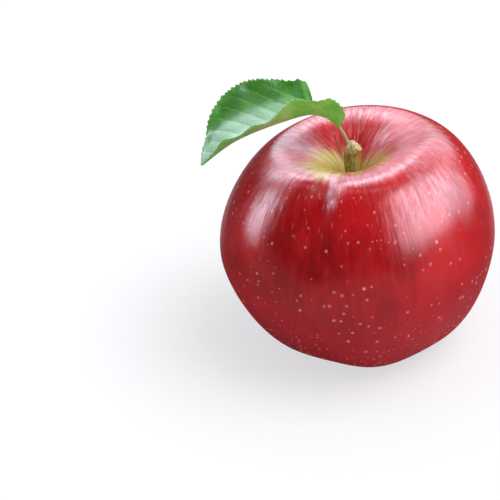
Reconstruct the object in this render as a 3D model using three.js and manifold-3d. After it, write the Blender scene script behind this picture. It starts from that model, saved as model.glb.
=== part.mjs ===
// A fresh apple with its stem, one leaf on its stalk, and the dried calyx in the basin underneath.
// Millimetres, +Z up. The fruit stands on five small flat feet at z = 0, and the origin is the
// middle of the bounding box's bottom face. Everything is first drawn round the fruit's core axis.
import * as THREE from "three";
import { mergeVertices } from "three/addons/utils/BufferGeometryUtils.js";
import Module from "manifold-3d";

// Fruit: sizes of the evenly turned shape, before it grows lopsided.
const RADIUS = 40;
const HEIGHT = 63.8;
const EQUATOR_Z = 33.2;
const CREST_RADIUS = 22;
const FOOT_RADIUS = 14.3;
const FOOT_FLAT = 2.4;
const CAVITY_DEPTH = 18;
const CAVITY_MOUTH_HANDLE = 9.5;
const CAVITY_FLOOR_HANDLE = 10.4;
const CAVITY_FLARE = 0.7;
const CREST_HANDLE = 7.7;
const SHOULDER_HANDLE = 14.8;
const FLANK_HANDLE = 9.6;
const FOOT_HANDLE = 14.7;
const BASIN_DEPTH = 9;
const BASIN_RIM_HANDLE = 5;
const BASIN_FLOOR_HANDLE = 4;
const PIT_RADIUS = 2.6;
const PIT_FLOOR_RADIUS = 1.9;
const PIT_DEPTH = 4;

// How the fruit departs from the even shape.
const LOBES = 5;
const LOBE_ANGLE = THREE.MathUtils.degToRad(-81);
const LOBE_SWELL_LOW = 0.009;
const LOBE_SWELL_HIGH = 0.004;
const FOOT_RISE = 1;
const FOOT_SINK = 0.2;
const OVAL = 0.0156;
const OVAL_ANGLE = THREE.MathUtils.degToRad(19);
const LEAN = -0.059;
const SHOULDER_TILT = 0.125;
const CREST_WAVE = 0.45;
const CREST_WAVE_ANGLE = THREE.MathUtils.degToRad(215);

// Stem: a grooved shaft that ends in a flared, slanting scar.
const GAP = 0.3;
const STEM_RADIUS = 1.35;
const STEM_GROOVES = 5;
const STEM_GROOVE_DEPTH = 0.12;
const STEM_WELL_DEPTH = 1.5;
const STEM_FOOT_Z = HEIGHT - CAVITY_DEPTH - STEM_WELL_DEPTH + GAP;
const STEM_BEND = new THREE.Vector3(-2, -0.2, 56);
const STEM_NECK = new THREE.Vector3(-1.8, -0.2, 61.2);
const SCAR_TILT = THREE.MathUtils.degToRad(38);
const SCAR_RADIUS = 2.1;
const SCAR_LENGTH = 3;
const SCAR_RIM_Z = 2.25;
const SCAR_LIP_RADIUS = 1.25;
const SCAR_CROWN = 0.25;
const SCAR_ROOT_RADIUS = 1.1;
const SCAR_ROOT_DEPTH = 0.8;
const SCAR_FLARE_HEIGHT = 1.2;

// Leaf: a blade folded along its midrib, on a short stalk. Each half leans away from upright.
const STALK_RADIUS = 0.5;
const STALK_FOOT = new THREE.Vector3(-3, 0.6, 63.9);
const STALK_JOIN_START = 0.02;
const STALK_JOIN_END = 0.06;
const MIDRIB = new THREE.CatmullRomCurve3([
  new THREE.Vector3(-5, 2, 68.3),
  new THREE.Vector3(-8.4, 2.3, 71.1),
  new THREE.Vector3(-13, 2, 72.4),
  new THREE.Vector3(-22, 0.5, 70.5),
  new THREE.Vector3(-35, -1.8, 65.6),
  new THREE.Vector3(-44.8, -4, 58.8),
]);
const BLADE_THICKNESS = 0.5;
const RIB_THICKNESS = 0.5;
const RIB_SPREAD = 0.8;
const BLADE_HALF_WIDTH = 13.2;
const BLADE_WIDEST_SHIFT = 1.06;
const BLADE_BASE_FULLNESS = 0.4;
const BLADE_TIP_FULLNESS = 1;
const BLADE_END_MARGIN = 0.015;
const FOLD_ROUNDING = 1.1;
const NEAR_LEAN_BASE = 5;
const NEAR_LEAN_MIDDLE = 57;
const NEAR_LEAN_REACH = 0.5;
const FAR_LEAN_BASE = 88;
const FAR_LEAN_MIDDLE = 30;
const FAR_LEAN_START = 0.17;
const FAR_LEAN_REACH = 0.34;

// Calyx: five dried sepals round the remains of the stamens.
const SEPALS = 5;
const SEPAL_LENGTH = 6;
const SEPAL_HALF_WIDTH = 1.5;
const SEPAL_THICKNESS = 0.45;
const SEPAL_RING_RADIUS = 2.9;
const SEPAL_SETBACK = 0.75;
const SEPAL_TAPER = 0.75;
const SEPAL_TAPER_POWER = 1.6;
const SEPAL_CUP = 0.3;
const SEPAL_CURL = 1.9;
const TUFT_RADIUS = 1.3;
const TUFT_HEIGHT = 4.6;
const TUFT_POINTS = 7;
const TUFT_TAPER = 0.35;
const TUFT_NOTCH = 0.72;
const TUFT_SHORT = 0.85;

// Mesh fineness.
const FRUIT_PROFILE_STEPS = 11;
const FRUIT_TURN_STEPS = 60;
const BLADE_LENGTH_STEPS = 26;
const BLADE_WIDTH_STEPS = 7;
const STEM_LENGTH_STEPS = 10;
const STEM_SIDES = 20;
const SCAR_PROFILE_STEPS = 4;
const STALK_LENGTH_STEPS = 12;
const STALK_CURVE_STEPS = 5;
const SEPAL_LENGTH_STEPS = 6;
const SEPAL_WIDTH_STEPS = 2;
const TUFT_LENGTH_STEPS = 3;

const wasm = await Module();
wasm.setup();

const { degToRad, lerp, smoothstep } = THREE.MathUtils;
const UP = new THREE.Vector3(0, 0, 1);
const BACK = new THREE.Vector3(0, 1, 0);

function paint(color, roughness) {
  return new THREE.MeshStandardMaterial({ color, roughness, metalness: 0 });
}

function part(name, geometry, material) {
  const mesh = new THREE.Mesh(geometry, material);
  mesh.name = name;
  return mesh;
}

// A closed geometry as a manifold-3d solid.
function solidOf(geometry) {
  const bare = new THREE.BufferGeometry();
  bare.setAttribute("position", geometry.getAttribute("position"));
  bare.setIndex(geometry.getIndex());
  const merged = mergeVertices(bare, 1e-3);
  return new wasm.Manifold(
    new wasm.Mesh({
      numProp: 3,
      vertProperties: merged.attributes.position.array,
      triVerts: new Uint32Array(merged.index.array),
    }),
  );
}

// Joins closed geometries that run into each other into one.
function joined(...geometries) {
  const whole = geometries.map(solidOf).reduce((sum, next) => sum.add(next));
  const { vertProperties, triVerts } = whole.getMesh();
  const geometry = new THREE.BufferGeometry();
  geometry.setAttribute("position", new THREE.BufferAttribute(vertProperties, 3));
  geometry.setIndex(new THREE.BufferAttribute(triVerts, 1));
  return geometry;
}

// A closed skin over rings of points. Each ring has the same even number of points, and each end is
// closed by a strip of triangles across its ring.
function loft(rings) {
  const sides = rings[0].length;
  const indices = [];
  for (let i = 0; i + 1 < rings.length; i++) {
    for (let j = 0; j < sides; j++) {
      const next = (j + 1) % sides;
      const [a, b] = [i * sides + j, i * sides + next];
      const [c, d] = [a + sides, b + sides];
      indices.push(a, b, d, a, d, c);
    }
  }
  const last = (rings.length - 1) * sides;
  for (let j = 0; j < sides / 2; j++) {
    const [a, b, c, d] = [j, j + 1, sides - 1 - j, (sides - j) % sides];
    if (b !== c) indices.push(a, c, b, last + a, last + b, last + c);
    if (a !== d) indices.push(a, d, c, last + a, last + c, last + d);
  }
  const geometry = new THREE.BufferGeometry().setFromPoints(rings.flat());
  geometry.setIndex(indices);
  return geometry;
}

// The point of the fruit's core axis at a height: the axis leans with the fruit.
function onCore(z) {
  return new THREE.Vector3(LEAN * (z - EQUATOR_Z), 0, z);
}

// Half the outline of the even fruit, from the calyx pit round the outside to the stem's well.
function fruitProfile() {
  const cavityFloor = HEIGHT - CAVITY_DEPTH;
  const wellRadius = STEM_RADIUS + GAP;
  const footInner = FOOT_RADIUS - FOOT_FLAT / 2;
  const footOuter = FOOT_RADIUS + FOOT_FLAT / 2;
  const path = new THREE.Path();
  path.moveTo(0, BASIN_DEPTH + PIT_DEPTH);
  path.lineTo(PIT_FLOOR_RADIUS, BASIN_DEPTH + PIT_DEPTH);
  path.lineTo(PIT_RADIUS, BASIN_DEPTH);
  path.bezierCurveTo(
    PIT_RADIUS + BASIN_FLOOR_HANDLE, BASIN_DEPTH,
    footInner - BASIN_RIM_HANDLE, 0,
    footInner, 0,
  );
  path.lineTo(footOuter, 0);
  path.bezierCurveTo(
    footOuter + FOOT_HANDLE, 0,
    RADIUS, EQUATOR_Z - FLANK_HANDLE,
    RADIUS, EQUATOR_Z,
  );
  path.bezierCurveTo(
    RADIUS, EQUATOR_Z + SHOULDER_HANDLE,
    CREST_RADIUS + CREST_HANDLE, HEIGHT,
    CREST_RADIUS, HEIGHT,
  );
  path.bezierCurveTo(
    CREST_RADIUS - CAVITY_MOUTH_HANDLE, HEIGHT,
    wellRadius + CAVITY_FLARE, cavityFloor + CAVITY_FLOOR_HANDLE,
    wellRadius, cavityFloor,
  );
  path.lineTo(wellRadius, cavityFloor - STEM_WELL_DEPTH);
  path.lineTo(0, cavityFloor - STEM_WELL_DEPTH);
  return path.getPoints(FRUIT_PROFILE_STEPS);
}

// Moves a point of the even shape to where the grown fruit has it: lobed, leaning, with one
// shoulder higher, and flattened where its feet meet the surface that it stands on.
function grow(point) {
  const angle = Math.atan2(point.y, point.x);
  const lobe = Math.cos(LOBES * (angle - LOBE_ANGLE));
  const low = 1 - smoothstep(point.z, 0, EQUATOR_Z);
  const high = smoothstep(point.z, EQUATOR_Z, HEIGHT);
  const away = smoothstep(Math.hypot(point.x, point.y), PIT_RADIUS, FOOT_RADIUS);
  const lobing = 1 + away * lobe * (LOBE_SWELL_LOW * low + LOBE_SWELL_HIGH * high);
  const swell = lobing * (1 + OVAL * Math.cos(2 * (angle - OVAL_ANGLE)));
  point.x *= swell;
  point.y *= swell;
  const footLift = ((1 - lobe) / 2) * FOOT_RISE - FOOT_SINK;
  const crestLift = CREST_WAVE * Math.cos(3 * (angle - CREST_WAVE_ANGLE));
  point.z += away * (low * footLift + high * crestLift);
  point.z += SHOULDER_TILT * point.x * smoothstep(point.z, 0, HEIGHT);
  point.x += onCore(point.z).x;
  point.z = Math.max(point.z, 0);
  return point;
}

function makeFruit() {
  const geometry = new THREE.LatheGeometry(fruitProfile(), FRUIT_TURN_STEPS);
  geometry.rotateX(Math.PI / 2);
  const positions = geometry.getAttribute("position");
  const point = new THREE.Vector3();
  for (let i = 0; i < positions.count; i++) {
    grow(point.fromBufferAttribute(positions, i));
    positions.setXYZ(i, point.x, point.y, point.z);
  }
  return part("fruit", geometry, paint(0xb01822, 0.3));
}

// The shaft follows a gentle bend; the scar is a flared cup turned to one side on top of it.
function makeStem() {
  const line = new THREE.CatmullRomCurve3([
    onCore(STEM_FOOT_Z),
    onCore(HEIGHT - CAVITY_DEPTH + STEM_WELL_DEPTH),
    STEM_BEND,
    STEM_NECK,
  ]);
  const rings = [];
  for (let i = 0; i <= STEM_LENGTH_STEPS; i++) {
    const middle = line.getPoint(i / STEM_LENGTH_STEPS);
    const ring = [];
    for (let j = 0; j < STEM_SIDES; j++) {
      const angle = (2 * Math.PI * j) / STEM_SIDES;
      const radius = STEM_RADIUS - STEM_GROOVE_DEPTH * (1 + Math.cos(STEM_GROOVES * angle));
      ring.push(new THREE.Vector3(radius * Math.cos(angle), radius * Math.sin(angle), 0).add(middle));
    }
    rings.push(ring);
  }
  const cup = new THREE.Path();
  cup.moveTo(0, -STEM_RADIUS);
  cup.lineTo(SCAR_ROOT_RADIUS, -SCAR_ROOT_DEPTH);
  cup.quadraticCurveTo(SCAR_ROOT_RADIUS, SCAR_FLARE_HEIGHT, SCAR_RADIUS, SCAR_RIM_Z);
  cup.quadraticCurveTo(SCAR_RADIUS, SCAR_LENGTH, SCAR_LIP_RADIUS, SCAR_LENGTH);
  cup.lineTo(0, SCAR_LENGTH + SCAR_CROWN);
  const scar = new THREE.LatheGeometry(cup.getPoints(SCAR_PROFILE_STEPS), STEM_SIDES);
  scar.rotateX(Math.PI / 2);
  scar.rotateY(SCAR_TILT);
  scar.translate(STEM_NECK.x, STEM_NECK.y, STEM_NECK.z - GAP);
  return part("stem", joined(loft(rings), scar), paint(0x8a7a3a, 0.7));
}

// Half the blade's width at a place along the midrib, 0 at the stalk and 1 at the tip.
function bladeHalfWidth(along) {
  const bulge = Math.max(Math.sin(Math.PI * along ** BLADE_WIDEST_SHIFT), 0);
  const fullness = lerp(BLADE_BASE_FULLNESS, BLADE_TIP_FULLNESS, smoothstep(along, 0.5, 1));
  return BLADE_HALF_WIDTH * bulge ** fullness;
}

// How far each half leans from upright, in degrees: the near half forwards, the far half back.
function bladeLean(along, isNear) {
  return isNear
    ? lerp(NEAR_LEAN_BASE, NEAR_LEAN_MIDDLE, smoothstep(along, 0, NEAR_LEAN_REACH))
    : lerp(FAR_LEAN_BASE, FAR_LEAN_MIDDLE, smoothstep(along, FAR_LEAN_START, FAR_LEAN_REACH));
}

// Points on the blade's middle surface, from the midrib out to one half's edge.
function bladeHalf(along, isNear) {
  const tangent = MIDRIB.getTangentAt(along);
  const side = isNear ? BACK.clone().negate() : BACK.clone();
  side.addScaledVector(tangent, -side.dot(tangent)).normalize();
  const up = UP.clone().addScaledVector(tangent, -UP.dot(tangent));
  up.addScaledVector(side, -up.dot(side)).normalize();
  const step = bladeHalfWidth(along) / BLADE_WIDTH_STEPS;
  const lean = degToRad(bladeLean(along, isNear));
  const place = MIDRIB.getPointAt(along);
  const points = [place.clone()];
  for (let i = 0; i < BLADE_WIDTH_STEPS; i++) {
    const angle = lerp(lean, Math.PI / 2, Math.exp((-(i + 0.5) * step) / FOLD_ROUNDING));
    place.addScaledVector(side, step * Math.sin(angle));
    place.addScaledVector(up, step * Math.cos(angle));
    points.push(place.clone());
  }
  return points;
}

// The blade as rings round its thickness: along the upper face and back along the lower one.
function bladeGeometry() {
  const rows = [];
  for (let i = 0; i <= BLADE_LENGTH_STEPS; i++) {
    const along = lerp(BLADE_END_MARGIN, 1 - BLADE_END_MARGIN, i / BLADE_LENGTH_STEPS);
    rows.push([...bladeHalf(along, true).reverse(), ...bladeHalf(along, false).slice(1)]);
  }
  const rings = rows.map((row, i) => {
    const before = rows[Math.max(i - 1, 0)];
    const after = rows[Math.min(i + 1, rows.length - 1)];
    const upper = [];
    const lower = [];
    row.forEach((point, j) => {
      const across = row[Math.min(j + 1, row.length - 1)].clone().sub(row[Math.max(j - 1, 0)]);
      const normal = after[j].clone().sub(before[j]).cross(across).normalize();
      const out = point.distanceTo(row[BLADE_WIDTH_STEPS]);
      const rib = RIB_THICKNESS * Math.exp(-((out / RIB_SPREAD) ** 2));
      upper.push(point.clone().addScaledVector(normal, -BLADE_THICKNESS / 2));
      lower.push(point.clone().addScaledVector(normal, BLADE_THICKNESS / 2 + rib));
    });
    return [...upper, ...lower.reverse()];
  });
  return loft(rings);
}

function makeLeaf() {
  const line = new THREE.CatmullRomCurve3([
    STALK_FOOT,
    STALK_FOOT.clone().lerp(MIDRIB.getPoint(0), 0.5),
    MIDRIB.getPointAt(STALK_JOIN_START),
    MIDRIB.getPointAt(STALK_JOIN_END),
  ]);
  const section = new THREE.Shape().absarc(0, 0, STALK_RADIUS, 0, 2 * Math.PI);
  const stalk = new THREE.ExtrudeGeometry(section, {
    steps: STALK_LENGTH_STEPS,
    curveSegments: STALK_CURVE_STEPS,
    bevelEnabled: false,
    extrudePath: line,
  });
  return part("leaf", joined(stalk, bladeGeometry()), paint(0x4f8f2f, 0.5));
}

// One sepal, drawn pointing out along +X from the calyx ring: it drops, then curls back outward.
function sepalGeometry() {
  const rings = [];
  let angle = -Math.PI / 2;
  const place = new THREE.Vector2(SEPAL_RING_RADIUS, BASIN_DEPTH - SEPAL_SETBACK);
  const step = SEPAL_LENGTH / SEPAL_LENGTH_STEPS;
  for (let i = 0; i <= SEPAL_LENGTH_STEPS; i++) {
    const along = i / SEPAL_LENGTH_STEPS;
    const half = SEPAL_HALF_WIDTH * (1 - SEPAL_TAPER * along ** SEPAL_TAPER_POWER);
    const face = new THREE.Vector3(-Math.sin(angle), 0, Math.cos(angle));
    const ring = [];
    for (const layer of [1, -1]) {
      for (let j = 0; j <= 2 * SEPAL_WIDTH_STEPS; j++) {
        const across = (layer * (j - SEPAL_WIDTH_STEPS)) / SEPAL_WIDTH_STEPS;
        const cupped = SEPAL_CUP * half * across ** 2 + (layer * SEPAL_THICKNESS) / 2;
        const point = new THREE.Vector3(place.x, across * half, place.y);
        ring.push(point.addScaledVector(face, -cupped));
      }
    }
    rings.push(ring);
    place.x += step * Math.cos(angle);
    place.y += step * Math.sin(angle);
    angle += (SEPAL_CURL / SEPAL_LENGTH_STEPS) * (0.5 + along);
  }
  return loft(rings);
}

function makeSepal(index) {
  const sepal = part(`sepal_${index + 1}`, sepalGeometry(), paint(0x6b5a3c, 0.9));
  sepal.rotation.z = LOBE_ANGLE + ((index + 0.5) * 2 * Math.PI) / SEPALS;
  return sepal;
}

// The dried stamens and styles, standing together in the calyx pit as one ragged tuft.
function makeTuft() {
  const floor = BASIN_DEPTH + PIT_DEPTH - GAP;
  const rings = [];
  for (let i = 0; i <= TUFT_LENGTH_STEPS; i++) {
    const along = i / TUFT_LENGTH_STEPS;
    const ring = [];
    for (let j = 0; j < 2 * TUFT_POINTS; j++) {
      const angle = (Math.PI * j) / TUFT_POINTS;
      const isNotch = j % 2 === 1;
      const radius = TUFT_RADIUS * (1 - TUFT_TAPER * along) * (isNotch ? TUFT_NOTCH : 1);
      const drop = along * TUFT_HEIGHT * (isNotch ? TUFT_SHORT : 1);
      ring.push(new THREE.Vector3(radius * Math.cos(angle), -radius * Math.sin(angle), floor - drop));
    }
    rings.push(ring);
  }
  return part("stamens", loft(rings), paint(0x3a2a1c, 0.95));
}

const apple = new THREE.Group();
apple.add(makeFruit(), makeStem(), makeLeaf());

const calyx = new THREE.Group();
calyx.position.x = onCore(BASIN_DEPTH).x;
for (let index = 0; index < SEPALS; index++) calyx.add(makeSepal(index));
calyx.add(makeTuft());
apple.add(calyx);

// Puts the middle of the bounding box's bottom face at the origin.
const bounds = new THREE.Box3().setFromObject(apple, true);
const middle = bounds.getCenter(new THREE.Vector3());
apple.position.set(-middle.x, -middle.y, -bounds.min.z);

const root = new THREE.Group();
root.add(apple);

export default root;
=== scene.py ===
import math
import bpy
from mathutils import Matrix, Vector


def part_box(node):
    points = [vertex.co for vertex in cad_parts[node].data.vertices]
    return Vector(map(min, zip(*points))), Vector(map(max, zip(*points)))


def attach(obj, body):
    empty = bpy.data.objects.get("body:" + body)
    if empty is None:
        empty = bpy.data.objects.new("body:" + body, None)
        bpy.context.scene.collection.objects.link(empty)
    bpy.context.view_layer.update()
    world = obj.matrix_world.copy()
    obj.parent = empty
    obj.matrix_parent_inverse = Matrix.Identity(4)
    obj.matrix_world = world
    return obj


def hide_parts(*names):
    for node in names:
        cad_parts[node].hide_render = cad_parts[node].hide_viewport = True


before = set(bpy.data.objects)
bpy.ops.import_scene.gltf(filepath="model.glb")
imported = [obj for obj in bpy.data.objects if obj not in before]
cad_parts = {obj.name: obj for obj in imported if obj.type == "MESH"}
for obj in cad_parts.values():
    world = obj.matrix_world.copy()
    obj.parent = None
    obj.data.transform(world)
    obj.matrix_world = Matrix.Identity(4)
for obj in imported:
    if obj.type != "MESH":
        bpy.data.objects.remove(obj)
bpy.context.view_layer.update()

# A fresh red apple with its stem, one leaf on its stalk and the dried calyx underneath, on a pale
# floor. Shapes are worked out in millimetres round the fruit's core axis, then placed in metres.
from types import SimpleNamespace

import bpy
import numpy as np
from mathutils import Euler, Vector, noise

MM = 0.001

# Fruit, the same growth as the CAD solid.
RADIUS = 40.0
HEIGHT = 63.8
EQUATOR_Z = 33.2
CREST_RADIUS = 22.0
FOOT_RADIUS = 14.3
FOOT_FLAT = 2.4
CAVITY_DEPTH = 18.0
CAVITY_MOUTH_HANDLE = 9.5
CAVITY_FLOOR_HANDLE = 10.4
CAVITY_FLARE = 0.7
CREST_HANDLE = 7.7
SHOULDER_HANDLE = 14.8
FLANK_HANDLE = 9.6
FOOT_HANDLE = 14.7
BASIN_DEPTH = 9.0
BASIN_RIM_HANDLE = 5.0
BASIN_FLOOR_HANDLE = 4.0
PIT_RADIUS = 2.6
PIT_FLOOR_RADIUS = 1.9
PIT_DEPTH = 4.0
LOBES = 5
LOBE_ANGLE = math.radians(-81)
LOBE_SWELL_LOW = 0.009
LOBE_SWELL_HIGH = 0.004
FOOT_RISE = 1.0
FOOT_SINK = 0.2
OVAL = 0.0156
OVAL_ANGLE = math.radians(19)
LEAN = -0.059
SHOULDER_TILT = 0.125
CREST_WAVE = 0.45
CREST_WAVE_ANGLE = math.radians(215)
STEM_RADIUS = 1.35
STEM_GAP = 0.3
STEM_WELL_DEPTH = 1.5
CAVITY_FLOOR_Z = HEIGHT - CAVITY_DEPTH

# Fruit skin relief and mesh fineness. Waves of relief are each a height and the size of its features.
PROFILE_ROWS = 238
TURN_COLUMNS = 400
SKIN_WAVES = ((0.07, 17.0), (0.025, 6.0))
RELIEF_START_Z = 0.4
RELIEF_FULL_Z = 5.0
CAVITY_RIDGE_HEIGHT = 0.14
CAVITY_RIDGE_COUNT = 9.0
CAVITY_RIDGE_SWAY = 0.05
FRONT_HUMP = 0.95
FRONT_ANGLE = math.radians(-72)
FRONT_WIDTH = math.radians(30)
FRONT_REACH = 7.0
FRONT_SPREAD = 4.5
HOLLOW_DEPTH = 2.3
HOLLOW_ANGLE = math.radians(-108)
HOLLOW_WIDTH = math.radians(10)
HOLLOW_TOP = -7.0
HOLLOW_REACH = 4.0
HOLLOW_END = 40.0
WALL_DEPTH = 0.8
WALL_ANGLE = math.radians(140)
WALL_WIDTH = math.radians(26)
WALL_REACH = 9.0
WALL_SPREAD = 4.0

# Stem: shaft and the torn scar on top of it. Ribs are each a height, a count, a start and a twist.
STEM_BEND = (-2.0, -0.2, 56.0)
STEM_NECK = (-1.8, -0.2, 61.2)
STEM_STRAIGHT = 1.5
SCAR_TILT = math.radians(38)
SCAR_RADIUS = 2.1
SCAR_LENGTH = 3.0
SCAR_RIM_DEPTH = 0.4
SCAR_RIM_SHARE = 0.93
SCAR_FLARE = (0.80, 0.97)
SCAR_START = (0.82, 0.95)
SCAR_CROWN = 0.35
SCAR_DIP = 0.3
STEM_ROWS = 90
STEM_SIDES = 72
STEM_CAP_RINGS = 14
SHAFT_SWELL = 0.25
SHAFT_WIDENS = (0.1, 0.35)
SHAFT_PINCH = 0.16
PINCH_END = 0.06
STEM_RIBS = ((0.17, 5, 0.8, 1.6), (0.07, 11, 0.0, -2.5))
BARK_WAVES = ((0.10, 0.7), (0.05, 0.28))
BARK_STRETCH = (1.0, 1.0, 0.3)
KNOB_WAVES = ((0.34, 1.1), (0.16, 0.45))
CRAG_WAVES = ((0.45, 0.8), (0.22, 0.35))

# Leaf. The near half reaches towards -Y, and the far half folds up on the other side of the rib. A
# lean is in degrees from straight up. A bump in it is its size, its place on the blade and its spread.
STALK_FOOT = (-2.55, 0.35, 63.6)
STALK_BEND = (-3.55, 0.9, 65.9)
STALK_RADIUS = 0.42
STALK_ROWS = 60
STALK_SIDES = 24
STALK_FLARE = 0.22
STALK_FLARE_SHARE = 0.07
STALK_TAPER = 0.12
STALK_ROUGHNESS = 0.05
MIDRIB = (
    (-5.0, 2.0, 68.3), (-8.4, 2.3, 71.1), (-13.0, 2.0, 72.4),
    (-22.0, 0.5, 70.5), (-35.0, -1.8, 65.6), (-44.8, -4.0, 58.8),
)
BLADE_START = 0.004
BLADE_END = 0.998
BLADE_THICKNESS = 0.26
RIB_THICKNESS = 0.5
RIB_SINK = 0.10
RIB_SPREAD = 0.55
RIB_TAPER = 0.75
BLADE_HALF_WIDTH = 13.2
BLADE_LEAST_WIDTH = 0.2
BLADE_WIDEST_SHIFT = 1.06
NEAR_FULLNESS = (0.4, 1.0)
FOLD_ROUNDING = 1.1
NEAR_LEAN_BASE = 5.0
NEAR_LEAN_MIDDLE = 57.0
NEAR_LEAN_REACH = 0.5
NEAR_LEAN_BUMPS = ((17, 0.20, 0.055), (-7, 0.32, 0.06))
FAR_LEAN_BASE = 108.0
FAR_LEAN_MIDDLE = 30.0
FAR_LEAN_START = 0.14
FAR_LEAN_REACH = 0.235
FAR_DISH = math.radians(40)
FAR_DISH_START = (0.16, 0.26)
FAR_DISH_END = (7, 14)
FAR_LIFT = math.radians(10)
FAR_LIFT_START = (10, 15)
FAR_WIDTH = 1.36
FAR_SWEEP = 0.12
FAR_FULLNESS = (0.72, 0.72)
BLADE_ROWS = 330
BLADE_COLUMNS = 26
COLUMN_CROWDING = 0.85
TOOTH_PITCH = 1.2
TOOTH_DEPTH = 0.8
TOOTH_BACK = 0.72
TOOTH_DRIFT = 0.5
TOOTH_MIDDLE_SIZE = 0.75
TOOTH_SIZE_RANGE = 0.5
TOOTH_ZONE = 0.86
DEEPEST_CUT = 0.3
VEIN_PITCH = 4.6
VEIN_SLANT = 0.5
VEIN_BEND = 0.015
VEIN_WIDTH = 0.5
VEIN_TAPER = 0.035
VEIN_GROOVE = 0.05
VEIN_LINE = 0.22
FAR_STAGGER = 0.45
QUILT_HEIGHT = 0.018
BLADE_WAVES = ((0.55, 7.0), (0.16, 2.4))
MARGIN_WAVE_LENGTH = 8.5
MARGIN_WAVE_START = 1.2
NEAR_MARGIN_WAVE = 0.40
FAR_MARGIN_WAVE = 0.30

# Calyx.
SEPALS = 5
SEPAL_LENGTH = 6.0
SEPAL_HALF_WIDTH = 1.5
SEPAL_THICKNESS = 0.3
SEPAL_RING_RADIUS = 2.9
SEPAL_SETBACK = 0.75
SEPAL_CURL = 1.9
SEPAL_TAPER = 0.93
SEPAL_RAGGEDNESS = 0.16
SEPAL_CUP = 0.34
SEPAL_CREASE = 0.12
SEPAL_RIBBING = 0.05
SEPAL_SWAY = 0.5
SEPAL_ROWS = 44
SEPAL_COLUMNS = 14
GOLDEN_ANGLE = 2.399963
GOLDEN_SHARE = 0.618
FILAMENTS = 20
FILAMENT_SIDES = 7
FILAMENT_ROWS = 10
FILAMENT_LENGTH = 3.4
FILAMENT_RADIUS = 0.085
FILAMENT_RING = 0.35
FILAMENT_RING_WIDTH = 0.75
ANTHER_SWELL = 0.09
STYLE_LENGTH = 3.1
STYLE_RADIUS = 0.42
STYLE_SIDES = 16
TUFT_LENGTH = 4.6


# ---- shape helpers ----

def smooth(x, low, high):
    t = np.clip((np.asarray(x, float) - low) / (high - low), 0.0, 1.0)
    return t * t * (3 - 2 * t)


def blend(a, b, t):
    return a + (b - a) * t


def bezier(start, handle_a, handle_b, end, steps=60):
    t = np.linspace(0, 1, steps)[:, None]
    a, b, c, d = (np.array(p, float) for p in (start, handle_a, handle_b, end))
    return a * (1 - t) ** 3 + 3 * b * t * (1 - t) ** 2 + 3 * c * t * t * (1 - t) + d * t ** 3


def run_lengths(points):
    steps = np.linalg.norm(np.diff(points, axis=0), axis=1)
    return np.concatenate([[0.0], np.cumsum(steps)])


def evenly(points, places):
    """Points at those shares of a polyline's length."""
    runs = run_lengths(points)
    at = np.asarray(places) * runs[-1]
    return np.stack([np.interp(at, runs, points[:, k]) for k in range(points.shape[1])], 1)


def flowing(points, places):
    """Points at those shares of the length of a centripetal spline through the given points."""
    p = np.array(points, float)
    p = np.vstack([2 * p[0] - p[1], p, 2 * p[-1] - p[-2]])
    pieces = []
    for k in range(1, len(p) - 2):
        a, b, c, d = p[k - 1:k + 3]
        before, span, after = (math.sqrt(np.linalg.norm(v)) for v in (b - a, c - b, d - c))
        leave = ((b - a) / before - (c - a) / (before + span) + (c - b) / span) * span
        arrive = ((c - b) / span - (d - b) / (span + after) + (d - c) / after) * span
        pieces.append(bezier(b, b + leave / 3, c - arrive / 3, c))
    return evenly(np.vstack(pieces), places)


def unit(v):
    return v / np.maximum(np.linalg.norm(v, axis=-1, keepdims=True), 1e-9)


def hump(x, middle, spread):
    """1 at the middle and 0 well away from it."""
    return np.exp(-((x - middle) / spread) ** 2)


def grain(points, size, seed=0.0):
    """Smooth noise between about -1 and 1 at each point, with features of that size."""
    shift = Vector((seed * 17.3, seed * 5.1, seed * 9.7))
    return np.array([noise.noise(Vector(p) / size + shift) for p in points])


def rugged(points, waves, seed=0):
    """Several sizes of noise added up. Each wave is its height and the size of its features."""
    return sum(height * grain(points, size, seed + k) for k, (height, size) in enumerate(waves))


def wander(places, seed, row=0.0):
    """Smooth noise along a line, at those places on it."""
    return np.array([noise.noise(Vector((place, seed, row))) for place in places])


def chance(seed, row):
    """One uneven number between about -1 and 1, the same every time."""
    return noise.noise(Vector((seed, row, 0)))


def grid_faces(rows, sides):
    """Quads over rings of points, ring by ring."""
    faces = []
    for i in range(rows - 1):
        for j in range(sides):
            a, b = i * sides + j, i * sides + (j + 1) % sides
            faces.append((a, b, b + sides, a + sides))
    return faces


def placed(name, data):
    """An object with that data, in the scene."""
    made = bpy.data.objects.new(name, data)
    bpy.context.scene.collection.objects.link(made)
    return made


def piece(name, node, slot, points, faces, look, **layers):
    """A mesh in metres that stands for a CAD node. Each layer is stored on the mesh's points."""
    mesh = bpy.data.meshes.new(name)
    mesh.from_pydata((np.asarray(points) * MM).tolist(), [], faces)
    for layer, values in layers.items():
        values = np.asarray(values, np.float32)
        kind, field = ("FLOAT_VECTOR", "vector") if values.ndim == 2 else ("FLOAT", "value")
        mesh.attributes.new(layer, kind, "POINT").data.foreach_set(field, values.ravel())
    mesh.polygons.foreach_set("use_smooth", [True] * len(mesh.polygons))
    mesh.validate()
    mesh.update()
    mesh.materials.append(look)
    made = placed(name, mesh)
    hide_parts(node)
    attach(made, "root")
    return made


def tube(line, radius, sides):
    """Rings of points round a line; radius is one number for each row, or rows by sides."""
    line = np.asarray(line, float)
    along = unit(np.gradient(line, axis=0))
    side = unit(np.cross(along, (0.0, 1.0, 0.0)))
    other = np.cross(along, side)
    angle = np.linspace(0, 2 * math.pi, sides, endpoint=False)
    radius = np.broadcast_to(np.asarray(radius, float).reshape(len(line), -1), (len(line), sides))
    ring = np.cos(angle)[None, :, None] * side[:, None] + np.sin(angle)[None, :, None] * other[:, None]
    return line[:, None] + radius[..., None] * ring, along


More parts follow.
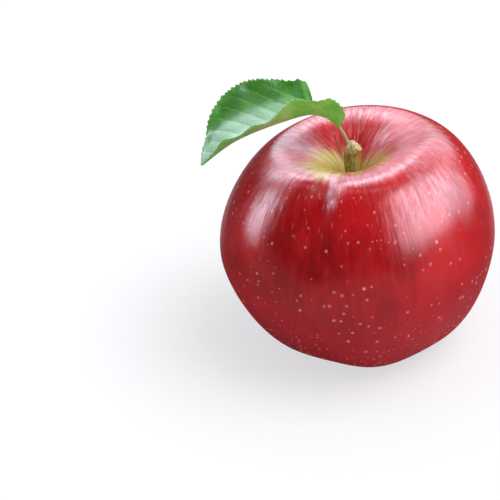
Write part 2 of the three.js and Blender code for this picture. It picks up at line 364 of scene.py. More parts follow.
def capped_faces(rows, sides):
    """Faces of a closed tube of rings, with a fan at each end round one of the last two points."""
    faces = grid_faces(rows, sides)
    first, last = rows * sides, rows * sides + 1
    for j in range(sides):
        k = (j + 1) % sides
        faces.append((first, k, j))
        faces.append((last, (rows - 1) * sides + j, (rows - 1) * sides + k))
    return faces


def capped_tube(rings):
    """Points and faces of a closed tube from its rings, with flat ends."""
    points = np.vstack([rings.reshape(-1, 3), rings[0].mean(0), rings[-1].mean(0)])
    return points, capped_faces(*rings.shape[:2])


def gathered(parts):
    """Several (points, faces) as one."""
    points, faces, start = [], [], 0
    for some, polygons in parts:
        points.append(some)
        faces += [tuple(i + start for i in polygon) for polygon in polygons]
        start += len(some)
    return np.vstack(points), faces


# ---- node helpers ----

class Nodes:
    """Short ways to wire one node tree."""

    def __init__(self, owner):
        owner.use_nodes = True
        self.tree = owner.node_tree
        self.tree.nodes.clear()

    def add(self, kind, inputs=None, **settings):
        node = self.tree.nodes.new(kind)
        for key, value in settings.items():
            setattr(node, key, value)
        for key, value in (inputs or {}).items():
            if isinstance(value, bpy.types.NodeSocket):
                self.tree.links.new(value, node.inputs[key])
            else:
                node.inputs[key].default_value = value
        return node

    def layer(self, name, output="Fac"):
        return self.add("ShaderNodeAttribute", attribute_name=name).outputs[output]

    def place(self):
        """Where a point is, in millimetres."""
        return self.stretched(self.add("ShaderNodeTexCoord").outputs["Object"], (1 / MM,) * 3)

    def stretched(self, vector, scale):
        return self.add("ShaderNodeVectorMath", {0: vector, 1: scale}, operation="MULTIPLY").outputs[0]

    def noise(self, vector, size, detail=2.0, roughness=0.5):
        return self.add("ShaderNodeTexNoise", {
            "Vector": vector, "Scale": 1 / size, "Detail": detail, "Roughness": roughness}).outputs[0]

    def streaks(self, vector, draw, size, detail, roughness=0.5):
        """Noise with features drawn out along Z, the more the smaller draw is."""
        return self.noise(self.stretched(vector, (1.0, 1.0, draw)), size, detail, roughness)

    def cells(self, vector, size):
        return self.add("ShaderNodeTexVoronoi", {"Vector": vector, "Scale": 1 / size})

    def between(self, value, low, high, out_low=0.0, out_high=1.0):
        return self.add("ShaderNodeMapRange", {
            "Value": value, "From Min": low, "From Max": high,
            "To Min": out_low, "To Max": out_high}, interpolation_type="SMOOTHSTEP").outputs[0]

    def calc(self, operation, a, b=0.0):
        return self.add("ShaderNodeMath", {0: a, 1: b}, operation=operation).outputs[0]

    def plus(self, a, b):
        return self.calc("ADD", a, b)

    def minus(self, a, b):
        return self.calc("SUBTRACT", a, b)

    def times(self, a, b):
        return self.calc("MULTIPLY", a, b)

    def most(self, a, b):
        return self.calc("MAXIMUM", a, b)

    def mix(self, share, a, b):
        a, b = (c if isinstance(c, bpy.types.NodeSocket) else (*c, 1.0) for c in (a, b))
        return self.add("ShaderNodeMix", {0: share, 6: a, 7: b}, data_type="RGBA").outputs[2]

    def bump(self, height, distance, strength, normal=None):
        inputs = {"Height": height, "Distance": distance * MM, "Strength": strength}
        if normal is not None:
            inputs["Normal"] = normal
        return self.add("ShaderNodeBump", inputs).outputs[0]

    def finish(self, shader, output="ShaderNodeOutputMaterial"):
        self.tree.links.new(shader.outputs[0], self.add(output).inputs[0])

    def surface(self, **inputs):
        self.finish(self.add("ShaderNodeBsdfPrincipled",
                             {key.replace("_", " "): value for key, value in inputs.items()}))


def material(name):
    made = bpy.data.materials.new(name)
    return made, Nodes(made)


# ---- fruit ----

def core_x(z):
    """How far the leaning core axis has moved sideways at a height."""
    return LEAN * (z - EQUATOR_Z)


def fruit_profile():
    """Half the even outline from the calyx pit to the stem's well, and marks along its length."""
    well = STEM_RADIUS + STEM_GAP
    foot_in, foot_out = FOOT_RADIUS - FOOT_FLAT / 2, FOOT_RADIUS + FOOT_FLAT / 2
    pit_z = BASIN_DEPTH + PIT_DEPTH
    basin = np.vstack([
        bezier((0, pit_z), (PIT_FLOOR_RADIUS, pit_z), (PIT_RADIUS, pit_z), (PIT_RADIUS, BASIN_DEPTH)),
        bezier((PIT_RADIUS, BASIN_DEPTH), (PIT_RADIUS + BASIN_FLOOR_HANDLE, BASIN_DEPTH),
               (foot_in - BASIN_RIM_HANDLE, 0), (foot_in, 0)),
    ])
    outside = np.vstack([
        bezier((foot_out, 0), (foot_out + FOOT_HANDLE, 0), (RADIUS, EQUATOR_Z - FLANK_HANDLE),
               (RADIUS, EQUATOR_Z)),
        bezier((RADIUS, EQUATOR_Z), (RADIUS, EQUATOR_Z + SHOULDER_HANDLE),
               (CREST_RADIUS + CREST_HANDLE, HEIGHT), (CREST_RADIUS, HEIGHT)),
    ])
    cavity = bezier((CREST_RADIUS, HEIGHT), (CREST_RADIUS - CAVITY_MOUTH_HANDLE, HEIGHT),
                    (well + CAVITY_FLARE, CAVITY_FLOOR_Z + CAVITY_FLOOR_HANDLE),
                    (well, CAVITY_FLOOR_Z))
    bottom = np.array([(well, CAVITY_FLOOR_Z - STEM_WELL_DEPTH), (0, CAVITY_FLOOR_Z - STEM_WELL_DEPTH)])
    whole = np.vstack([basin, outside, cavity, bottom])
    marks = run_lengths(whole)
    ends = np.cumsum([len(basin), len(outside), len(cavity)]) - 1
    return evenly(whole, np.linspace(0, 1, PROFILE_ROWS)), marks[-1], marks[ends]


def grown(x, y, z):
    """Where the lobed, leaning fruit has a point of the evenly turned shape."""
    angle = np.arctan2(y, x)
    lobe = np.cos(LOBES * (angle - LOBE_ANGLE))
    low, high = 1 - smooth(z, 0, EQUATOR_Z), smooth(z, EQUATOR_Z, HEIGHT)
    away = smooth(np.hypot(x, y), PIT_RADIUS, FOOT_RADIUS)
    swell = 1 + away * lobe * (LOBE_SWELL_LOW * low + LOBE_SWELL_HIGH * high)
    swell = swell * (1 + OVAL * np.cos(2 * (angle - OVAL_ANGLE)))
    x, y = x * swell, y * swell
    foot_lift = (1 - lobe) / 2 * FOOT_RISE - FOOT_SINK
    crest_lift = CREST_WAVE * np.cos(3 * (angle - CREST_WAVE_ANGLE))
    z = z + away * (low * foot_lift + high * crest_lift)
    z = z + SHOULDER_TILT * x * smooth(z, 0, HEIGHT)
    return x + core_x(z), y, z


def bell(theta, angle, width):
    """1 at an angle round the fruit and 0 well away from it."""
    return hump((theta - angle + math.pi) % (2 * math.pi) - math.pi, 0, width)


def shoulder_relief(theta, beyond_crest):
    """The full front lobe, the hollow on its left, and a steeper stretch of the cavity's far wall."""
    front = FRONT_HUMP * bell(theta, FRONT_ANGLE, FRONT_WIDTH)
    front = front * hump(beyond_crest, FRONT_REACH, FRONT_SPREAD)
    hollow = HOLLOW_DEPTH * bell(theta, HOLLOW_ANGLE, HOLLOW_WIDTH)
    hollow = hollow * smooth(beyond_crest, HOLLOW_TOP, HOLLOW_REACH)
    hollow = hollow * smooth(beyond_crest, HOLLOW_END, HOLLOW_REACH)
    wall = WALL_DEPTH * bell(theta, WALL_ANGLE, WALL_WIDTH) * hump(beyond_crest, -WALL_REACH, WALL_SPREAD)
    return front - hollow - wall


def cavity_ridges(theta, run, cavity):
    """Fine ridges that run down the middle of the cavity's wall."""
    spokes = np.stack([CAVITY_RIDGE_COUNT * np.cos(theta), CAVITY_RIDGE_COUNT * np.sin(theta),
                       run * CAVITY_RIDGE_SWAY], 1)
    on_wall = smooth(cavity, 0.3, 0.6) * (1 - smooth(cavity, 0.85, 1.0))
    return CAVITY_RIDGE_HEIGHT * on_wall * grain(spokes, 1.0, 2)


def make_fruit(skin):
    """Builds the fruit and returns how far the core axis stands from the frame's origin."""
    outline, length, (foot_mark, crest_mark, floor_mark) = fruit_profile()
    poles = [grown(0, 0, outline[k, 1]) for k in (0, -1)]
    rows = PROFILE_ROWS - 2
    turn = np.linspace(0, 2 * math.pi, TURN_COLUMNS, endpoint=False)
    theta = np.tile(turn, rows)
    r, z = (np.repeat(outline[1:-1, k], TURN_COLUMNS) for k in (0, 1))
    run = np.repeat(np.linspace(0, length, PROFILE_ROWS)[1:-1], TURN_COLUMNS)
    cavity = (run - crest_mark) / (floor_mark - crest_mark)
    basin = 1 - run / foot_mark

    points = np.stack(grown(r * np.cos(theta), r * np.sin(theta), z), 1)
    grid = points.reshape(rows, TURN_COLUMNS, 3)
    round_way = np.roll(grid, -1, 1) - np.roll(grid, 1, 1)
    normal = unit(np.cross(round_way, np.gradient(grid, axis=0))).reshape(-1, 3)
    relief = rugged(points, SKIN_WAVES) + shoulder_relief(theta, crest_mark - run)
    relief = relief * smooth(points[:, 2], RELIEF_START_Z, RELIEF_FULL_Z)
    points = points + normal * (relief + cavity_ridges(theta, run, cavity))[:, None]
    points[:, 2] = np.maximum(points[:, 2], 0)
    points = np.vstack([points, *poles])

    low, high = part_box("fruit")
    middle = (points.min(0) + points.max(0)) / 2
    offset = np.array([(low.x + high.x) / 2 / MM - middle[0], (low.y + high.y) / 2 / MM - middle[1], 0])
    skin_map = np.stack([RADIUS * np.cos(theta), RADIUS * np.sin(theta), run], 1)
    piece("apple_fruit", "fruit", "skin", points + offset, capped_faces(rows, TURN_COLUMNS), skin,
          skin_map=np.vstack([skin_map, (0, 0, 0), (0, 0, length)]),
          cavity=np.concatenate([cavity, [-1, 1.2]]),
          basin=np.concatenate([basin, [1, -1]]))
    return offset


# ---- skin ----

SHADE_RED = (0.300, 0.0004, 0.002)
SUN_RED = (0.590, 0.0015, 0.005)
MOTTLE_RED = (0.64, 0.006, 0.010)
# A brighter red painted on the shoulders, standing in for light from above.
TOP_LIGHT_RED = (0.76, 0.004, 0.008)
CRIMSON = (0.47, 0.001, 0.016)
PALE_STRIPE = (0.68, 0.020, 0.024)
DARK_STRIPE = (0.29, 0.001, 0.004)
PALE_DASH = (0.66, 0.12, 0.08)
DARK_DASH = (0.17, 0.003, 0.005)
WALL_PINK = (0.74, 0.20, 0.15)
GREEN_GROUND = (0.47, 0.35, 0.045)
YELLOW_GROUND = (0.62, 0.49, 0.085)
WELL_BROWN = (0.07, 0.045, 0.012)
BASIN_TAN = (0.33, 0.22, 0.075)
BASIN_PALE_TAN = (0.44, 0.33, 0.13)
PIT_BROWN = (0.09, 0.055, 0.03)
LENTICEL_PINK = (0.86, 0.32, 0.29)
# Places along the skin, as the run from the bottom of the calyx's pit. The foot is at 20, the fruit's
# widest place at 67 and its crest at 105.
FOOT_RUN = 28.0
LOW_RUN = 45.0
DOTTED_RUN = 60.0
HIGH_RUN = 80.0
STRIPED_RUN = 85.0
SHOULDER_RUN = 98.0


def skin_inputs(n):
    """Where a point is on the skin, and the noises that more than one part of the skin uses."""
    at = n.layer("skin_map", "Vector")
    compass = n.add("ShaderNodeSeparateXYZ", {0: at}).outputs
    return SimpleNamespace(
        at=at, x=compass["X"], y=compass["Y"], run=compass["Z"],
        cavity=n.layer("cavity"),
        basin=n.layer("basin"),
        clouds=n.noise(at, 22.0, 2.0),
        mottle=n.streaks(at, 0.35, 2.6, 3.0, 0.6),
        stripes=n.streaks(at, 0.07, 0.75, 3.0, 0.65),
        dashes=n.streaks(at, 0.7, 3.2, 3.0, 0.6),
        broken=n.streaks(at, 0.3, 1.3, 3.0, 0.65),
        rays=n.streaks(at, 0.2, 4.0, 4.0, 0.7))


def red_colour(n, skin):
    """Red in broad clouds, painted brighter to the right and on the shoulders as if lit from there, with
    fine stripes that run from stem to calyx.
    """
    # Painted light: the red is lighter towards the right, where the key light stands, on top of random
    # clouds of tone.
    clouds_and_painted_light = n.plus(skin.clouds, n.between(skin.x, -0.2 * RADIUS, 0.8 * RADIUS, -0.06, 0.10))
    red = n.mix(n.between(clouds_and_painted_light, 0.3, 0.7), SHADE_RED, SUN_RED)
    red = n.mix(n.between(skin.mottle, 0.35, 0.75, 0.0, 0.5), red, MOTTLE_RED)
    # Painted light: the shoulders are a brighter red, as if lit from above.
    red = n.mix(n.between(skin.run, HIGH_RUN, SHOULDER_RUN, 0.0, 0.15), red, TOP_LIGHT_RED)
    red = n.mix(n.between(skin.run, HIGH_RUN, LOW_RUN, 0.0, 0.6), red, CRIMSON)
    striped = n.between(skin.run, LOW_RUN, STRIPED_RUN, 0.35, 1.0)
    pale = n.times(striped, n.between(skin.stripes, 0.52, 0.75, 0.0, 0.3))
    dark = n.times(striped, n.between(skin.stripes, 0.47, 0.25, 0.0, 0.35))
    return n.mix(dark, n.mix(pale, red, PALE_STRIPE), DARK_STRIPE)


def wall_colour(n, skin, red):
    """Pale and dark dashes, and broken pink streaks, on the red of the cavity's wall."""
    pale = n.times(n.between(skin.cavity, 0.05, 0.4), n.between(skin.dashes, 0.56, 0.70))
    dark = n.times(n.between(skin.cavity, 0.15, 0.45, 0.0, 0.6), n.between(skin.dashes, 0.49, 0.36))
    pink = n.times(n.between(skin.cavity, 0.1, 0.4), n.between(skin.broken, 0.50, 0.72, 0.0, 0.55))
    red = n.mix(dark, n.mix(pale, red, PALE_DASH), DARK_DASH)
    return n.mix(pink, red, WALL_PINK)


def ground_colour(n, skin, red):
    """Yellow-green ground deep in the cavity, with the red running out over it in streaks. The red
    runs deeper on the far side and to the right."""
    ground = n.mix(n.between(skin.mottle, 0.3, 0.7), GREEN_GROUND, YELLOW_GROUND)
    sides = n.streaks(skin.at, 0.0, 26.0, 1.0)
    deep = skin.cavity
    for uneven in (n.between(skin.rays, 0.3, 0.7, -0.09, 0.09),
                   n.between(skin.stripes, 0.3, 0.7, -0.02, 0.02),
                   n.between(sides, 0.35, 0.65, -0.03, 0.03),
                   n.between(skin.y, -0.9 * RADIUS, -0.2 * RADIUS, 0.24, 0.0),
                   n.between(skin.y, 0.0, RADIUS, 0.0, -0.16),
                   n.between(skin.x, -RADIUS, RADIUS, 0.12, -0.04)):
        deep = n.plus(deep, uneven)
    colour = n.mix(n.between(deep, 0.34, 0.58), red, ground)
    # Darker brown towards the bottom of the cavity, round the stem.
    return n.mix(n.between(skin.cavity, 0.80, 0.97, 0.0, 0.9), colour, WELL_BROWN)


def basin_colour(n, skin, colour):
    """Tan that runs out of the calyx's basin in rays, and brown in its pit."""
    under = n.plus(skin.basin, n.between(skin.rays, 0.3, 0.7, -0.25, 0.25))
    tan = n.mix(n.between(skin.mottle, 0.35, 0.7), BASIN_TAN, BASIN_PALE_TAN)
    colour = n.mix(n.between(under, 0.15, 0.55), colour, tan)
    return n.mix(n.between(skin.basin, 0.68, 0.85, 0.0, 0.9), colour, PIT_BROWN)


def lenticels(n, skin):
    """Pale dots: scattered large ones, a finer crowd low on the fruit, and flecks round the crest."""
    large = n.cells(skin.at, 2.8).outputs
    size = n.between(large["Color"], 0.1, 0.8, 0.03, 0.20)
    spot = n.between(n.minus(large["Distance"], size), 0.06, -0.10)
    spot = n.times(spot, n.between(n.noise(skin.at, 1.8, 1.0), 0.3, 0.65, 0.3, 1.0))
    sway = n.add("ShaderNodeCombineXYZ", {0: n.times(skin.clouds, 9.0), 1: n.times(skin.mottle, 5.0)})
    swayed = n.add("ShaderNodeVectorMath", {0: skin.at, 1: sway.outputs[0]}, operation="ADD")
    small = n.cells(swayed.outputs[0], 1.5).outputs
    low_down = n.between(skin.run, DOTTED_RUN, FOOT_RUN, 0.0, 0.29)
    crowd = n.plus(n.between(n.noise(skin.at, 14.0, 1.0), 0.42, 0.60, 0.0, 0.14), low_down)
    crowd = n.times(crowd, n.between(small["Color"], 0.25, 0.75))
    fine = n.between(n.minus(small["Distance"], crowd), 0.03, -0.05)
    flecks = n.cells(n.stretched(skin.at, (1.0, 1.0, 0.2)), 1.3).outputs
    fleck = n.times(n.between(flecks["Distance"], 0.20, 0.10), n.between(skin.cavity, -0.9, 0.0))
    dots = n.most(spot, n.times(fine, 0.8))
    dots = n.most(dots, n.times(fleck, 0.45))
    return n.times(dots, n.between(skin.cavity, 0.45, 0.2))


def skin_roughness(n, skin, dots):
    """Smooth wax, rougher on the dots and round the crest, and dull in the cavity and the basin."""
    rough = n.between(n.noise(skin.at, 5.0, 4.0, 0.6), 0.3, 0.7, 0.19, 0.27)
    rough = n.plus(rough, n.times(dots, 0.12))
    rough = n.plus(rough, n.between(skin.cavity, -0.5, 0.1, 0.0, 0.06))
    rough = n.plus(rough, n.between(skin.cavity, 0.35, 0.75, 0.0, 0.15))
    return n.plus(rough, n.between(skin.basin, 0.1, 0.6, 0.0, 0.25))


def skin_gloss(n, skin):
    """The gloss of the skin and of its wax. Both are milder at glancing angles. Round the crest the
    gloss is worn in short streaks, and the cavity and the basin have no wax."""
    glancing = n.add("ShaderNodeLayerWeight", {"Blend": 0.5}).outputs["Facing"]
    mild = n.between(glancing, 0.70, 0.90, 1.0, 0.12)
    wax = n.times(n.between(skin.cavity, -0.5, 0.3, 0.35, 0.0), n.between(skin.basin, 0.3, 0.0))
    shine = n.times(n.between(skin.cavity, 0.3, 0.8, 0.5, 0.35), mild)
    worn = n.times(n.between(skin.cavity, -0.9, -0.3), n.between(skin.broken, 0.36, 0.64, -0.5, 0.35))
    return n.times(shine, n.plus(worn, 1.0)), n.times(wax, mild)


def skin_bump(n, skin, dots):
    """Short and long streaks, pores, and the lenticels standing slightly proud."""
    normal = n.bump(n.streaks(skin.at, 0.3, 1.6, 3.0), 0.10, 0.5)
    normal = n.bump(n.streaks(skin.at, 0.12, 2.2, 3.0, 0.6), 0.35, 0.35, normal)
    normal = n.bump(n.noise(skin.at, 0.5, 2.0), 0.02, 0.35, normal)
    return n.bump(dots, 0.02, 0.5, normal)


def skin_material():
    made, n = material("apple_skin")
    skin = skin_inputs(n)
    colour = ground_colour(n, skin, wall_colour(n, skin, red_colour(n, skin)))
    colour = basin_colour(n, skin, colour)
    dots = lenticels(n, skin)
    colour = n.mix(n.times(dots, 0.9), colour, LENTICEL_PINK)
    shine, wax = skin_gloss(n, skin)
    n.surface(Base_Color=colour, Roughness=skin_roughness(n, skin, dots), Normal=skin_bump(n, skin, dots),
              IOR=1.5, Specular_IOR_Level=shine, Coat_Weight=wax, Coat_Roughness=0.17,
              Subsurface_Weight=0.06, Subsurface_Radius=(1.0, 0.25, 0.15), Subsurface_Scale=1.5 * MM,
              Sheen_Weight=0.14, Sheen_Roughness=0.35, Sheen_Tint=(1.0, 0.42, 0.42, 1.0))
    return made


# ---- stem ----

def stem_line():
    """The middle of the stem, from the cavity's floor to the rim of the scar."""
    scar_way = np.array([math.sin(SCAR_TILT), 0, math.cos(SCAR_TILT)])
    foot_z, straight_z = CAVITY_FLOOR_Z - STEM_WELL_DEPTH + STEM_GAP, CAVITY_FLOOR_Z + STEM_STRAIGHT
    tip = np.array(STEM_NECK) + (SCAR_LENGTH - SCAR_RIM_DEPTH) * scar_way
    low = [(core_x(z), 0, z) for z in (foot_z, straight_z)]
    return flowing([*low, STEM_BEND, STEM_NECK, tip], np.linspace(0, 1, STEM_ROWS))


def torn_face(rim, way):
    """Rings that close in over the scar, craggy and slightly sunken in the middle."""
    face = []
    for k in range(1, STEM_CAP_RINGS + 1):
        inward = k / (STEM_CAP_RINGS + 0.5)
        ring = blend(rim, rim.mean(0), inward)
        rise = SCAR_CROWN * math.sin(math.pi * min(inward * 1.25, 1)) - SCAR_DIP * inward
        crag = rugged(ring, CRAG_WAVES, seed=4) * (1 - 0.4 * inward)
        face.append(ring + way * (rise + crag)[:, None])
    return np.array(face)


def make_stem(bark, offset):
    """The ribbed shaft runs into a flared, torn scar that is turned to one side."""
    line = stem_line()
    share = np.linspace(0, 1, STEM_ROWS)[:, None]
    angle = np.linspace(0, 2 * math.pi, STEM_SIDES, endpoint=False)[None, :]
    flare = smooth(share, *SCAR_FLARE)
    shaft = STEM_RADIUS + SHAFT_SWELL * smooth(share, *SHAFT_WIDENS)
    shaft = blend(shaft, SCAR_RADIUS * SCAR_RIM_SHARE, flare) - SHAFT_PINCH * smooth(share, PINCH_END, 0.0)
    ribs = sum(height * np.cos(count * angle + start + twist * share)
               for height, count, start, twist in STEM_RIBS)
    rings, along = tube(line, shaft + ribs * (1 - 0.4 * flare), STEM_SIDES)
    flat = rings.reshape(-1, 3)
    knob = np.repeat(smooth(share[:, 0], *SCAR_START), STEM_SIDES)
    rough = rugged(flat * BARK_STRETCH, BARK_WAVES) + knob * rugged(flat, KNOB_WAVES, seed=2)
    rings = rings + unit(rings - line[:, None]) * rough.reshape(STEM_ROWS, STEM_SIDES, 1)
    points, faces = capped_tube(np.concatenate([rings, torn_face(rings[-1], along[-1])]))
    scar = np.concatenate([knob, np.ones(STEM_SIDES * STEM_CAP_RINGS), [0, 1]])
    low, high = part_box("stem")
    piece("apple_stem", "stem", "stem", points + offset, faces, bark,
          scar=scar, rise=(points[:, 2] - low.z / MM) / ((high.z - low.z) / MM))


def bark_material():
    made, n = material("apple_stem_bark")
    scar, rise = n.layer("scar"), n.layer("rise")
    at = n.place()
    fibres = n.streaks(at, 0.12, 0.35, 4.0, 0.65)
    blotch = n.noise(at, 1.4, 3.0)
    torn = n.noise(at, 0.45, 4.0, 0.7)
    stripe = n.between(fibres, 0.35, 0.65)
    green = n.mix(stripe, (0.14, 0.085, 0.012), (0.60, 0.46, 0.12))
    brown = n.mix(stripe, (0.06, 0.035, 0.010), (0.32, 0.21, 0.07))
    shaft = n.mix(n.between(blotch, 0.45, 0.75), green, brown)
    # The shaft is a darker olive towards its foot, down in the cavity.
    shaft = n.mix(n.between(rise, 0.45, 0.10), shaft, (0.16, 0.13, 0.035))
    cream = n.mix(n.between(torn, 0.36, 0.62), (0.34, 0.22, 0.075), (0.86, 0.68, 0.34))
    bare = n.between(n.plus(scar, n.between(blotch, 0.3, 0.7, -0.3, 0.3)), 0.3, 0.7)
    normal = n.bump(fibres, 0.22, 0.8)
    normal = n.bump(torn, 0.25, n.between(scar, 0.2, 0.9, 0.1, 0.9), normal)
    n.surface(Base_Color=n.mix(bare, shaft, cream), Roughness=n.between(fibres, 0.3, 0.7, 0.75, 0.5),
              Normal=normal)
    return made


# ---- leaf ----

def blade_half_width(along, base_fullness, tip_fullness):
    """A fuller outline has the smaller number."""
    bulge = np.maximum(np.sin(math.pi * along ** BLADE_WIDEST_SHIFT), 1e-4)
    fullness = blend(base_fullness, tip_fullness, smooth(along, 0.5, 1))
    return BLADE_HALF_WIDTH * bulge ** fullness


def blade_lean(along, is_near):
    if not is_near:
        return blend(FAR_LEAN_BASE, FAR_LEAN_MIDDLE, smooth(along, FAR_LEAN_START, FAR_LEAN_REACH))
    lean = blend(NEAR_LEAN_BASE, NEAR_LEAN_MIDDLE, smooth(along, 0, NEAR_LEAN_REACH))
    for size, middle, spread in NEAR_LEAN_BUMPS:
        lean = lean + size * hump(along, middle, spread)
    return lean


def teeth(along_mm, seed):
    """How far the toothed margin falls short of its outline: forward-pointing, uneven teeth."""
    phase = (along_mm / TOOTH_PITCH + TOOTH_DRIFT * wander(along_mm / 2.3, seed)) % 1
    size = TOOTH_MIDDLE_SIZE + TOOTH_SIZE_RANGE * wander(along_mm / 1.7, seed, 5)
    notch = np.where(phase < TOOTH_BACK, 1 - phase / TOOTH_BACK, (phase - TOOTH_BACK) / (1 - TOOTH_BACK))
    return TOOTH_DEPTH * size * notch


def veins(along_mm, out_mm, stagger):
    """1 on a side vein and 0 away from it, and a wave between them. Side veins slant and bend
    towards the tip."""
    start = along_mm - VEIN_SLANT * out_mm - VEIN_BEND * out_mm ** 2
    nearest = np.abs((start / VEIN_PITCH + stagger + 0.5) % 1 - 0.5) * VEIN_PITCH
    width = VEIN_WIDTH * (1 - VEIN_TAPER * out_mm)
    return hump(nearest, 0, width), np.cos(2 * math.pi * (start / VEIN_PITCH + stagger))


def blade_half(places, midrib, length, is_near):
    """Middle surface of one half, rib first, and how far out each point is, both rows by columns,
    with the half's full width at each row."""
    tangent = unit(np.gradient(midrib, axis=0))
    side = np.tile((0.0, -1.0 if is_near else 1.0, 0.0), (len(places), 1))
    side = unit(side - (side * tangent).sum(1, keepdims=True) * tangent)
    up = np.tile((0.0, 0.0, 1.0), (len(places), 1))
    up = up - (up * tangent).sum(1, keepdims=True) * tangent
    up = unit(up - (up * side).sum(1, keepdims=True) * side)
    along_mm = places * length
    full = blade_half_width(places, *(NEAR_FULLNESS if is_near else FAR_FULLNESS))
    full = full * (1 if is_near else FAR_WIDTH)
    cut = np.minimum(teeth(along_mm, 1.0 if is_near else 2.0), DEEPEST_CUT * full)
    lean = np.radians(blade_lean(places, is_near))
    place, spots, outs = midrib.copy(), [midrib.copy()], [np.zeros(len(places))]
    shares = np.linspace(0, 1, BLADE_COLUMNS) ** COLUMN_CROWDING
    for low, high in zip(shares[:-1], shares[1:]):
        out = (low + high) / 2 * full
        step = (high - low) * full - cut * (smooth(high, TOOTH_ZONE, 1) - smooth(low, TOOTH_ZONE, 1))
        dish = FAR_DISH * (1 - smooth(out, *FAR_DISH_END)) * smooth(places, *FAR_DISH_START)
        bent = lean if is_near else lean + dish - FAR_LIFT * smooth(out, *FAR_LIFT_START)
        angle = blend(bent, math.pi / 2, np.exp(-out / FOLD_ROUNDING))
        place = place + side * (step * np.sin(angle))[:, None] + up * (step * np.cos(angle))[:, None]
        if not is_near:
            place = place + tangent * (FAR_SWEEP * step)[:, None]
        spots.append(place.copy())
        outs.append(outs[-1] + step)
    return np.stack(spots, 1), np.stack(outs, 1), full


def blade_relief(middle, signed, along, edge, full):
    """How far the blade stands off its even surface: rippled, and waved along the margin."""
    out = np.abs(signed)
    ripple = rugged(middle.reshape(-1, 3), BLADE_WAVES, seed=1).reshape(out.shape)
    wave = np.sin(2 * math.pi * along / MARGIN_WAVE_LENGTH + MARGIN_WAVE_START)
    wave = wave * smooth(edge, 0.55, 1.0) * smooth(full, 3, 9)
    height = np.where(signed < 0, NEAR_MARGIN_WAVE, FAR_MARGIN_WAVE)
    return ripple * smooth(edge, 0.3, 1.0) * smooth(out, 3, 9) + height * wave


def sheet_faces(rows, sides):
    """Faces of a thin closed sheet whose rings run along its top and back along its underside."""
    faces = grid_faces(rows, sides)
    for start, is_last in ((0, False), ((rows - 1) * sides, True)):
        for j in range(sides // 2 - 1):
            quad = (start + j, start + j + 1, start + sides - 2 - j, start + sides - 1 - j)
            faces.append(quad if is_last else quad[::-1])
    return [face[::-1] for face in faces]


def leaf_blade(places, midrib, length):
    """Rings of points round the blade, row by row, and its layers."""
    near, near_out, near_full = blade_half(places, midrib, length, True)
    far, far_out, far_full = blade_half(places, midrib, length, False)
    middle = np.concatenate([near[:, ::-1], far[:, 1:]], 1)
    signed = np.concatenate([-near_out[:, ::-1], far_out[:, 1:]], 1)
    out = np.abs(signed)
    along = np.repeat((places * length)[:, None], middle.shape[1], 1)
    full = np.maximum(np.where(signed < 0, near_full[:, None], far_full[:, None]), BLADE_LEAST_WIDTH)
    edge = np.clip(out / full, 0, 1)
    normal = unit(np.cross(np.gradient(middle, axis=1), np.gradient(middle, axis=0)))
    vein, quilt = veins(along, out, np.where(signed < 0, 0.0, FAR_STAGGER))
    away = smooth(out, 0.5, 2.0) * (1 - smooth(edge, 0.88, 1.0))
    lift = blade_relief(middle, signed, along, edge, full) - QUILT_HEIGHT * quilt * away
    middle = middle + normal * lift[..., None]
    rib = hump(out, 0, RIB_SPREAD) * (1 - RIB_TAPER * along / length)
    thin = BLADE_THICKNESS * (1 - 0.5 * smooth(edge, 0.8, 1.0)) / 2
    top = thin - VEIN_GROOVE * vein * away - RIB_SINK * rib
    underside = thin + 0.75 * VEIN_GROOVE * vein * away + RIB_THICKNESS * rib
    upper, lower = middle + normal * top[..., None], middle - normal * underside[..., None]
    ones, zeros = np.ones_like(edge), np.zeros_like(edge)
    sides = {"vein": (rib, rib), "edge": (edge, edge), "upper": (ones, zeros), "out": (signed, signed),
             "along": (along, along), "stalk": (zeros, zeros)}
    layers = {name: np.concatenate([above, below[:, ::-1]], 1).ravel()
              for name, (above, below) in sides.items()}
    return np.concatenate([upper, lower[:, ::-1]], 1), layers


def leaf_stalk(midrib):
    """A round stalk that swells where it leaves the stem and runs a little way under the rib."""
    share = np.linspace(0, 1, STALK_ROWS)
    line = flowing([STALK_FOOT, STALK_BEND, tuple(midrib[6]), tuple(midrib[26])], share)
    radius = STALK_RADIUS + STALK_FLARE * np.exp(-share / STALK_FLARE_SHARE) - STALK_TAPER * share
    rings = tube(line, radius, STALK_SIDES)[0]
    bend = grain(rings.reshape(-1, 3) * (1, 1, 0.4), 0.5, 3).reshape(STALK_ROWS, STALK_SIDES, 1)
    return capped_tube(rings + unit(rings - line[:, None]) * STALK_ROUGHNESS * bend)


def make_leaf(green, offset):
    """The folded blade and its stalk in one piece. It casts no shadow and isn't mirrored in the skin."""
    places = np.linspace(BLADE_START, BLADE_END, BLADE_ROWS)
    whole = flowing(MIDRIB, np.linspace(0, 1, 400))
    length = run_lengths(whole)[-1]
    midrib = evenly(whole, places)
    rings, layers = leaf_blade(places, midrib, length)
    rows, sides = rings.shape[:2]
    points, faces = gathered([(rings.reshape(-1, 3), sheet_faces(rows, sides)), leaf_stalk(midrib)])
    on_stalk = {"vein": 1.0, "edge": 0.0, "upper": 0.0, "out": 0.0, "along": -2.0, "stalk": 1.0}
    rest = len(points) - rows * sides
    layers = {name: np.concatenate([values, np.full(rest, on_stalk[name])])
              for name, values in layers.items()}
    leaf = piece("apple_leaf", "leaf", "leaf", points + offset, faces, green, **layers)
    leaf.visible_shadow = leaf.visible_glossy = False


